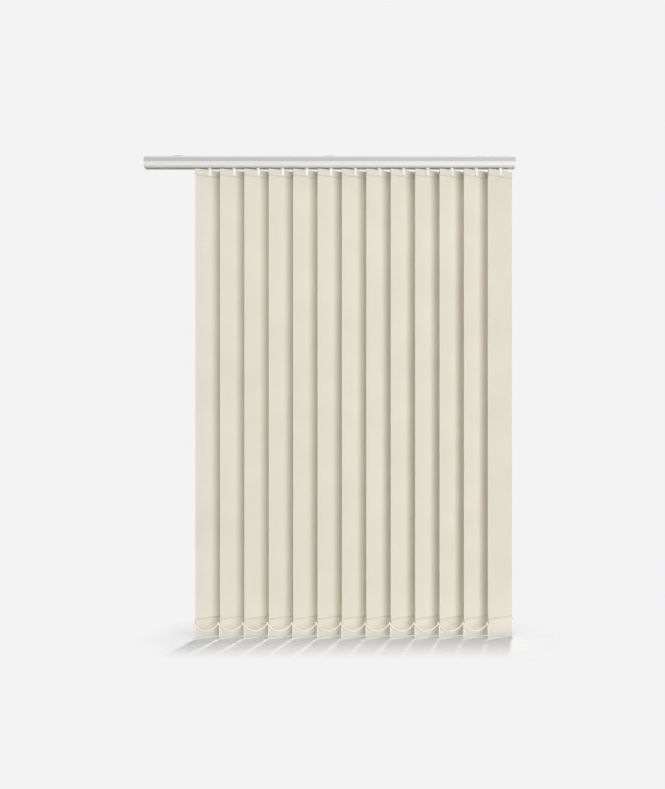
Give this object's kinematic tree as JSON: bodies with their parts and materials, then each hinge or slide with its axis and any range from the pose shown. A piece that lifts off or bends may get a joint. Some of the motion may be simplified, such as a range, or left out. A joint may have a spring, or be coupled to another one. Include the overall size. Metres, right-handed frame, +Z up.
{
  "type": "vertical blind",
  "caption": "Vertical window blind: white aluminium headrail with geared carriers, cream fabric vanes on hooks that tilt and stack to one side, weighted hems and link cords.",
  "frame": {"origin": "on the ceiling plane, midway between the two outer bracket screws", "axes": "+X along the rail towards the stack and control end, +Y away from the room, +Z up"},
  "size_m": [1.2256, 0.063, 1.587],
  "materials": {
    "white_painted_aluminium": "powder coated, satin",
    "white_plastic": "moulded, satin",
    "grey_plastic": "moulded acetal",
    "zinc_plated_steel": "zinc plated sheet",
    "extruded_aluminium": "mill finish",
    "vane_fabric": "stiffened plain weave",
    "link_cord": "smooth cord with moulded clips"
  },
  "bodies": {
    "headrail": {"headrail": "white_painted_aluminium", "idle_end_cap": "white_plastic", "control_end_cap": "white_plastic", "top_fix_brackets": "zinc_plated_steel", "carrier_13": "grey_plastic"},
    "tilt_rod": {"tilt_rod": "extruded_aluminium", "chain_wheel": "grey_plastic"},
    "carrier_01": {"carrier_01": "grey_plastic"},
    "carrier_02": {"carrier_02": "grey_plastic"},
    "carrier_03": {"carrier_03": "grey_plastic"},
    "carrier_04": {"carrier_04": "grey_plastic"},
    "carrier_05": {"carrier_05": "grey_plastic"},
    "carrier_06": {"carrier_06": "grey_plastic"},
    "carrier_07": {"carrier_07": "grey_plastic"},
    "carrier_08": {"carrier_08": "grey_plastic"},
    "carrier_09": {"carrier_09": "grey_plastic"},
    "carrier_10": {"carrier_10": "grey_plastic"},
    "carrier_11": {"carrier_11": "grey_plastic"},
    "carrier_12": {"carrier_12": "grey_plastic"},
    "vane_01": {"hook_01": "white_plastic", "vane_01": "vane_fabric"},
    "worm_01": {"worm_01": "white_plastic"},
    "vane_02": {"hook_02": "white_plastic", "vane_02": "vane_fabric"},
    "worm_02": {"worm_02": "white_plastic"},
    "vane_03": {"hook_03": "white_plastic", "vane_03": "vane_fabric"},
    "worm_03": {"worm_03": "white_plastic"},
    "vane_04": {"hook_04": "white_plastic", "vane_04": "vane_fabric"},
    "worm_04": {"worm_04": "white_plastic"},
    "vane_05": {"hook_05": "white_plastic", "vane_05": "vane_fabric"},
    "worm_05": {"worm_05": "white_plastic"},
    "vane_06": {"hook_06": "white_plastic", "vane_06": "vane_fabric"},
    "worm_06": {"worm_06": "white_plastic"},
    "vane_07": {"hook_07": "white_plastic", "vane_07": "vane_fabric"},
    "worm_07": {"worm_07": "white_plastic"},
    "vane_08": {"hook_08": "white_plastic", "vane_08": "vane_fabric"},
    "worm_08": {"worm_08": "white_plastic"},
    "vane_09": {"hook_09": "white_plastic", "vane_09": "vane_fabric"},
    "worm_09": {"worm_09": "white_plastic"},
    "vane_10": {"hook_10": "white_plastic", "vane_10": "vane_fabric"},
    "worm_10": {"worm_10": "white_plastic"},
    "vane_11": {"hook_11": "white_plastic", "vane_11": "vane_fabric"},
    "worm_11": {"worm_11": "white_plastic"},
    "vane_12": {"hook_12": "white_plastic", "vane_12": "vane_fabric"},
    "worm_12": {"worm_12": "white_plastic"},
    "vane_13": {"hook_13": "white_plastic", "vane_13": "vane_fabric"},
    "worm_13": {"worm_13": "white_plastic"},
    "front_link_cord": {"front_link_cord": "link_cord"},
    "rear_link_cord": {"rear_link_cord": "link_cord"}
  },
  "joints": [
    {"name": "traverse", "type": "slide", "parent": "headrail", "child": "carrier_01", "axis": [1, 0, 0], "range_m": [0, 0.618], "deforming": ["front_link_cord", "rear_link_cord"]},
    {"name": "carrier_02_slide", "type": "slide", "parent": "headrail", "child": "carrier_02", "axis": [1, 0, 0], "range_m": [0, 0.568]},
    {"name": "carrier_03_slide", "type": "slide", "parent": "headrail", "child": "carrier_03", "axis": [1, 0, 0], "range_m": [0, 0.516]},
    {"name": "carrier_04_slide", "type": "slide", "parent": "headrail", "child": "carrier_04", "axis": [1, 0, 0], "range_m": [0, 0.465]},
    {"name": "carrier_05_slide", "type": "slide", "parent": "headrail", "child": "carrier_05", "axis": [1, 0, 0], "range_m": [0, 0.413]},
    {"name": "carrier_06_slide", "type": "slide", "parent": "headrail", "child": "carrier_06", "axis": [1, 0, 0], "range_m": [0, 0.362]},
    {"name": "carrier_07_slide", "type": "slide", "parent": "headrail", "child": "carrier_07", "axis": [1, 0, 0], "range_m": [0, 0.31]},
    {"name": "carrier_08_slide", "type": "slide", "parent": "headrail", "child": "carrier_08", "axis": [1, 0, 0], "range_m": [0, 0.259]},
    {"name": "carrier_09_slide", "type": "slide", "parent": "headrail", "child": "carrier_09", "axis": [1, 0, 0], "range_m": [0, 0.207]},
    {"name": "carrier_10_slide", "type": "slide", "parent": "headrail", "child": "carrier_10", "axis": [1, 0, 0], "range_m": [0, 0.156]},
    {"name": "carrier_11_slide", "type": "slide", "parent": "headrail", "child": "carrier_11", "axis": [1, 0, 0], "range_m": [0, 0.104]},
    {"name": "carrier_12_slide", "type": "slide", "parent": "headrail", "child": "carrier_12", "axis": [1, 0, 0], "range_m": [0, 0.053]},
    {"name": "tilt", "type": "hinge", "parent": "carrier_01", "child": "vane_01", "pos_m": [-0.396, 0, -0.05], "axis": [0, 0, 1], "range_deg": [-13, 139]},
    {"name": "worm_01_turn", "type": "hinge", "parent": "carrier_01", "child": "worm_01", "pos_m": [-0.396, 0.0106, -0.017], "axis": [1, 0, 0], "range_deg": [-105, 1113]},
    {"name": "vane_02_tilt", "type": "hinge", "parent": "carrier_02", "child": "vane_02", "pos_m": [-0.316, 0, -0.05], "axis": [0, 0, 1], "range_deg": [-13.5, 139.5]},
    {"name": "worm_02_turn", "type": "hinge", "parent": "carrier_02", "child": "worm_02", "pos_m": [-0.316, 0.0106, -0.017], "axis": [1, 0, 0], "range_deg": [-105, 1113]},
    {"name": "vane_03_tilt", "type": "hinge", "parent": "carrier_03", "child": "vane_03", "pos_m": [-0.236, 0, -0.05], "axis": [0, 0, 1], "range_deg": [-13.5, 139.5]},
    {"name": "worm_03_turn", "type": "hinge", "parent": "carrier_03", "child": "worm_03", "pos_m": [-0.236, 0.0106, -0.017], "axis": [1, 0, 0], "range_deg": [-105, 1113]},
    {"name": "vane_04_tilt", "type": "hinge", "parent": "carrier_04", "child": "vane_04", "pos_m": [-0.156, 0, -0.05], "axis": [0, 0, 1], "range_deg": [-13.5, 139.5]},
    {"name": "worm_04_turn", "type": "hinge", "parent": "carrier_04", "child": "worm_04", "pos_m": [-0.156, 0.0106, -0.017], "axis": [1, 0, 0], "range_deg": [-105, 1113]},
    {"name": "vane_05_tilt", "type": "hinge", "parent": "carrier_05", "child": "vane_05", "pos_m": [-0.076, 0, -0.05], "axis": [0, 0, 1], "range_deg": [-13.5, 139.5]},
    {"name": "worm_05_turn", "type": "hinge", "parent": "carrier_05", "child": "worm_05", "pos_m": [-0.076, 0.0106, -0.017], "axis": [1, 0, 0], "range_deg": [-105, 1113]},
    {"name": "vane_06_tilt", "type": "hinge", "parent": "carrier_06", "child": "vane_06", "pos_m": [0.004, 0, -0.05], "axis": [0, 0, 1], "range_deg": [-13.5, 139.5]},
    {"name": "worm_06_turn", "type": "hinge", "parent": "carrier_06", "child": "worm_06", "pos_m": [0.004, 0.0106, -0.017], "axis": [1, 0, 0], "range_deg": [-105, 1113]},
    {"name": "vane_07_tilt", "type": "hinge", "parent": "carrier_07", "child": "vane_07", "pos_m": [0.084, 0, -0.05], "axis": [0, 0, 1], "range_deg": [-13.5, 139.5]},
    {"name": "worm_07_turn", "type": "hinge", "parent": "carrier_07", "child": "worm_07", "pos_m": [0.084, 0.0106, -0.017], "axis": [1, 0, 0], "range_deg": [-105, 1113]},
    {"name": "vane_08_tilt", "type": "hinge", "parent": "carrier_08", "child": "vane_08", "pos_m": [0.164, 0, -0.05], "axis": [0, 0, 1], "range_deg": [-13.5, 139.5]},
    {"name": "worm_08_turn", "type": "hinge", "parent": "carrier_08", "child": "worm_08", "pos_m": [0.164, 0.0106, -0.017], "axis": [1, 0, 0], "range_deg": [-105, 1113]},
    {"name": "vane_09_tilt", "type": "hinge", "parent": "carrier_09", "child": "vane_09", "pos_m": [0.244, 0, -0.05], "axis": [0, 0, 1], "range_deg": [-13.5, 139.5]},
    {"name": "worm_09_turn", "type": "hinge", "parent": "carrier_09", "child": "worm_09", "pos_m": [0.244, 0.0106, -0.017], "axis": [1, 0, 0], "range_deg": [-105, 1113]},
    {"name": "vane_10_tilt", "type": "hinge", "parent": "carrier_10", "child": "vane_10", "pos_m": [0.324, 0, -0.05], "axis": [0, 0, 1], "range_deg": [-13.5, 139.5]},
    {"name": "worm_10_turn", "type": "hinge", "parent": "carrier_10", "child": "worm_10", "pos_m": [0.324, 0.0106, -0.017], "axis": [1, 0, 0], "range_deg": [-105, 1113]},
    {"name": "vane_11_tilt", "type": "hinge", "parent": "carrier_11", "child": "vane_11", "pos_m": [0.404, 0, -0.05], "axis": [0, 0, 1], "range_deg": [-13.5, 139.5]},
    {"name": "worm_11_turn", "type": "hinge", "parent": "carrier_11", "child": "worm_11", "pos_m": [0.404, 0.0106, -0.017], "axis": [1, 0, 0], "range_deg": [-105, 1113]},
    {"name": "vane_12_tilt", "type": "hinge", "parent": "carrier_12", "child": "vane_12", "pos_m": [0.484, 0, -0.05], "axis": [0, 0, 1], "range_deg": [-13.5, 139.5]},
    {"name": "worm_12_turn", "type": "hinge", "parent": "carrier_12", "child": "worm_12", "pos_m": [0.484, 0.0106, -0.017], "axis": [1, 0, 0], "range_deg": [-105, 1113]},
    {"name": "vane_13_tilt", "type": "hinge", "parent": "headrail", "child": "vane_13", "pos_m": [0.564, 0, -0.05], "axis": [0, 0, 1], "range_deg": [-13.5, 139.5]},
    {"name": "worm_13_turn", "type": "hinge", "parent": "headrail", "child": "worm_13", "pos_m": [0.564, 0.0106, -0.017], "axis": [1, 0, 0], "range_deg": [-105, 1113]},
    {"name": "tilt_rod_turn", "type": "hinge", "parent": "headrail", "child": "tilt_rod", "pos_m": [0, 0.0106, -0.017], "axis": [1, 0, 0], "range_deg": [-105, 1113]},
    {"name": "front_link_cord_swing", "type": "hinge", "parent": "vane_13", "child": "front_link_cord", "pos_m": [0.5158, -0.02456, -1.535], "axis": [0, 0, 1], "range_deg": [-139.5, 13.5]},
    {"name": "rear_link_cord_swing", "type": "hinge", "parent": "vane_13", "child": "rear_link_cord", "pos_m": [0.6122, 0.02456, -1.535], "axis": [0, 0, 1], "range_deg": [-139.5, 13.5]}
  ],
  "couplings": [
    {"joint": "carrier_02_slide", "follows": "traverse", "ratio": 0.91667},
    {"joint": "carrier_03_slide", "follows": "traverse", "ratio": 0.83333},
    {"joint": "carrier_04_slide", "follows": "traverse", "ratio": 0.75},
    {"joint": "carrier_05_slide", "follows": "traverse", "ratio": 0.66667},
    {"joint": "carrier_06_slide", "follows": "traverse", "ratio": 0.58333},
    {"joint": "carrier_07_slide", "follows": "traverse", "ratio": 0.5},
    {"joint": "carrier_08_slide", "follows": "traverse", "ratio": 0.41667},
    {"joint": "carrier_09_slide", "follows": "traverse", "ratio": 0.33333},
    {"joint": "carrier_10_slide", "follows": "traverse", "ratio": 0.25},
    {"joint": "carrier_11_slide", "follows": "traverse", "ratio": 0.16667},
    {"joint": "carrier_12_slide", "follows": "traverse", "ratio": 0.083333},
    {"joint": "worm_01_turn", "follows": "tilt", "ratio": 8},
    {"joint": "vane_02_tilt", "follows": "tilt", "ratio": 1},
    {"joint": "worm_02_turn", "follows": "tilt", "ratio": 8},
    {"joint": "vane_03_tilt", "follows": "tilt", "ratio": 1},
    {"joint": "worm_03_turn", "follows": "tilt", "ratio": 8},
    {"joint": "vane_04_tilt", "follows": "tilt", "ratio": 1},
    {"joint": "worm_04_turn", "follows": "tilt", "ratio": 8},
    {"joint": "vane_05_tilt", "follows": "tilt", "ratio": 1},
    {"joint": "worm_05_turn", "follows": "tilt", "ratio": 8},
    {"joint": "vane_06_tilt", "follows": "tilt", "ratio": 1},
    {"joint": "worm_06_turn", "follows": "tilt", "ratio": 8},
    {"joint": "vane_07_tilt", "follows": "tilt", "ratio": 1},
    {"joint": "worm_07_turn", "follows": "tilt", "ratio": 8},
    {"joint": "vane_08_tilt", "follows": "tilt", "ratio": 1},
    {"joint": "worm_08_turn", "follows": "tilt", "ratio": 8},
    {"joint": "vane_09_tilt", "follows": "tilt", "ratio": 1},
    {"joint": "worm_09_turn", "follows": "tilt", "ratio": 8},
    {"joint": "vane_10_tilt", "follows": "tilt", "ratio": 1},
    {"joint": "worm_10_turn", "follows": "tilt", "ratio": 8},
    {"joint": "vane_11_tilt", "follows": "tilt", "ratio": 1},
    {"joint": "worm_11_turn", "follows": "tilt", "ratio": 8},
    {"joint": "vane_12_tilt", "follows": "tilt", "ratio": 1},
    {"joint": "worm_12_turn", "follows": "tilt", "ratio": 8},
    {"joint": "vane_13_tilt", "follows": "tilt", "ratio": 1},
    {"joint": "worm_13_turn", "follows": "tilt", "ratio": 8},
    {"joint": "tilt_rod_turn", "follows": "tilt", "ratio": 8},
    {"joint": "front_link_cord_swing", "follows": "tilt", "ratio": -1},
    {"joint": "rear_link_cord_swing", "follows": "tilt", "ratio": -1}
  ]
}
